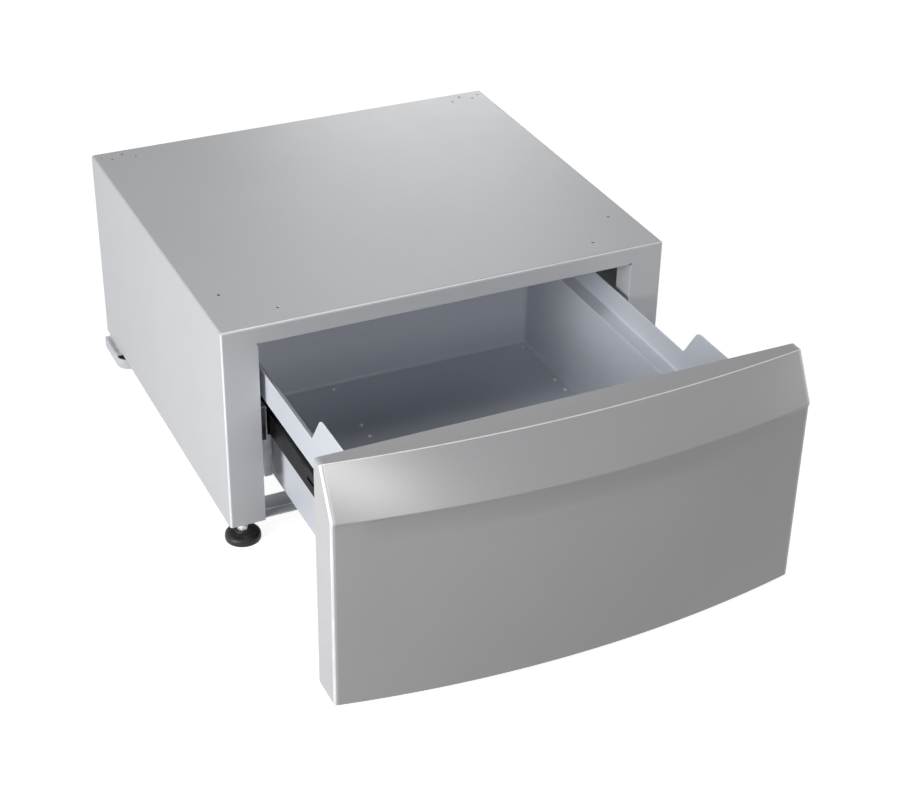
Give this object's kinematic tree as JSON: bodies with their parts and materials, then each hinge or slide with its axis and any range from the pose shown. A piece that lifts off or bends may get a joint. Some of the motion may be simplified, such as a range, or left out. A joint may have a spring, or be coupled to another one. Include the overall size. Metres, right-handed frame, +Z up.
{
  "type": "laundry pedestal drawer",
  "caption": "Steel pedestal for a laundry appliance, with a bowed storage drawer on telescopic slides and levelling feet.",
  "frame": {"origin": "middle of the part's bounding box on the floor, with the drawer as in the picture, 340.5 mm open", "axes": "+X to the right as seen from the front, +Y to the back, +Z up"},
  "size_m": [0.6994, 1.0528, 0.3697],
  "materials": {
    "cabinet_paint": "satin metallic silver paint",
    "front_paint": "satin metallic silver paint",
    "cap_plastic": "satin silver paint on plastic",
    "bin_paint": "fine orange-peel powder coat",
    "galvanised_steel": "galvanised",
    "zinc_plate": "bright zinc plate",
    "slide_black": "black electro-coat",
    "cage_steel": "zinc plate, oiled",
    "ball_steel": "polished bearing steel",
    "rubber": "matt black"
  },
  "bodies": {
    "cabinet": {"cabinet_shell": "cabinet_paint", "back_panel": "galvanised_steel", "deck_stiffener_front": "galvanised_steel", "deck_stiffener_rear": "galvanised_steel", "front_crossbar": "cabinet_paint", "rear_crossbar": "galvanised_steel", "left_slide_bracket": "galvanised_steel", "right_slide_bracket": "galvanised_steel", "front_left_foot_plate": "galvanised_steel", "front_right_foot_plate": "galvanised_steel", "rear_left_foot_plate": "galvanised_steel", "rear_right_foot_plate": "galvanised_steel", "left_rear_bracket": "galvanised_steel", "right_rear_bracket": "galvanised_steel", "back_panel_screws": "zinc_plate", "foot_weld_nuts": "zinc_plate", "foot_lock_nuts": "zinc_plate", "left_cabinet_slide": "slide_black", "right_cabinet_slide": "slide_black", "slide_bracket_screws": "zinc_plate"},
    "drawer": {"left_drawer_slide": "slide_black", "right_drawer_slide": "slide_black", "drawer_slide_screws": "zinc_plate", "bin_tray": "bin_paint", "left_bin_rim": "bin_paint", "right_bin_rim": "bin_paint", "bin_front_wall": "bin_paint", "floor_stiffener": "galvanised_steel", "floor_rivets": "zinc_plate", "drawer_front_skin": "front_paint", "drawer_front_back_plate": "galvanised_steel", "left_end_cap": "cap_plastic", "right_end_cap": "cap_plastic", "left_front_stiffener": "galvanised_steel", "right_front_stiffener": "galvanised_steel", "drawer_front_screws": "zinc_plate", "drawer_bumpers": "rubber"},
    "left_middle_member": {"left_middle_slide": "slide_black"},
    "left_outer_cage": {"left_outer_ball_cage": "cage_steel", "left_outer_balls": "ball_steel"},
    "left_inner_cage": {"left_inner_ball_cage": "cage_steel", "left_inner_balls": "ball_steel"},
    "right_middle_member": {"right_middle_slide": "slide_black"},
    "right_outer_cage": {"right_outer_ball_cage": "cage_steel", "right_outer_balls": "ball_steel"},
    "right_inner_cage": {"right_inner_ball_cage": "cage_steel", "right_inner_balls": "ball_steel"},
    "front_left_foot": {"front_left_foot_pad": "rubber", "front_left_foot_stud": "zinc_plate"},
    "front_right_foot": {"front_right_foot_pad": "rubber", "front_right_foot_stud": "zinc_plate"},
    "rear_left_foot": {"rear_left_foot_pad": "rubber", "rear_left_foot_stud": "zinc_plate"},
    "rear_right_foot": {"rear_right_foot_pad": "rubber", "rear_right_foot_stud": "zinc_plate"}
  },
  "joints": [
    {"name": "drawer_slide", "type": "slide", "parent": "cabinet", "child": "drawer", "axis": [0, -1, 0], "range_m": [-0.3385, 0.12]},
    {"name": "left_middle_member_slide", "type": "slide", "parent": "cabinet", "child": "left_middle_member", "axis": [0, -1, 0], "range_m": [-0.16975, 0.0605]},
    {"name": "left_outer_cage_slide", "type": "slide", "parent": "cabinet", "child": "left_outer_cage", "axis": [0, -1, 0], "range_m": [-0.08513, 0.0305]},
    {"name": "left_inner_cage_slide", "type": "slide", "parent": "cabinet", "child": "left_inner_cage", "axis": [0, -1, 0], "range_m": [-0.25438, 0.0905]},
    {"name": "right_middle_member_slide", "type": "slide", "parent": "cabinet", "child": "right_middle_member", "axis": [0, -1, 0], "range_m": [-0.16975, 0.0605]},
    {"name": "right_outer_cage_slide", "type": "slide", "parent": "cabinet", "child": "right_outer_cage", "axis": [0, -1, 0], "range_m": [-0.08513, 0.0305]},
    {"name": "right_inner_cage_slide", "type": "slide", "parent": "cabinet", "child": "right_inner_cage", "axis": [0, -1, 0], "range_m": [-0.25438, 0.0905]},
    {"name": "front_left_foot_height", "type": "slide", "parent": "cabinet", "child": "front_left_foot", "axis": [0, 0, 1], "range_m": [-0.01, 0.011]},
    {"name": "front_right_foot_height", "type": "slide", "parent": "cabinet", "child": "front_right_foot", "axis": [0, 0, 1], "range_m": [-0.01, 0.011]},
    {"name": "rear_left_foot_height", "type": "slide", "parent": "cabinet", "child": "rear_left_foot", "axis": [0, 0, 1], "range_m": [-0.01, 0.011]},
    {"name": "rear_right_foot_height", "type": "slide", "parent": "cabinet", "child": "rear_right_foot", "axis": [0, 0, 1], "range_m": [-0.01, 0.011]}
  ],
  "couplings": [
    {"joint": "left_middle_member_slide", "follows": "drawer_slide", "ratio": 0.5},
    {"joint": "left_outer_cage_slide", "follows": "drawer_slide", "ratio": 0.25},
    {"joint": "left_inner_cage_slide", "follows": "drawer_slide", "ratio": 0.75},
    {"joint": "right_middle_member_slide", "follows": "drawer_slide", "ratio": 0.5},
    {"joint": "right_outer_cage_slide", "follows": "drawer_slide", "ratio": 0.25},
    {"joint": "right_inner_cage_slide", "follows": "drawer_slide", "ratio": 0.75}
  ]
}
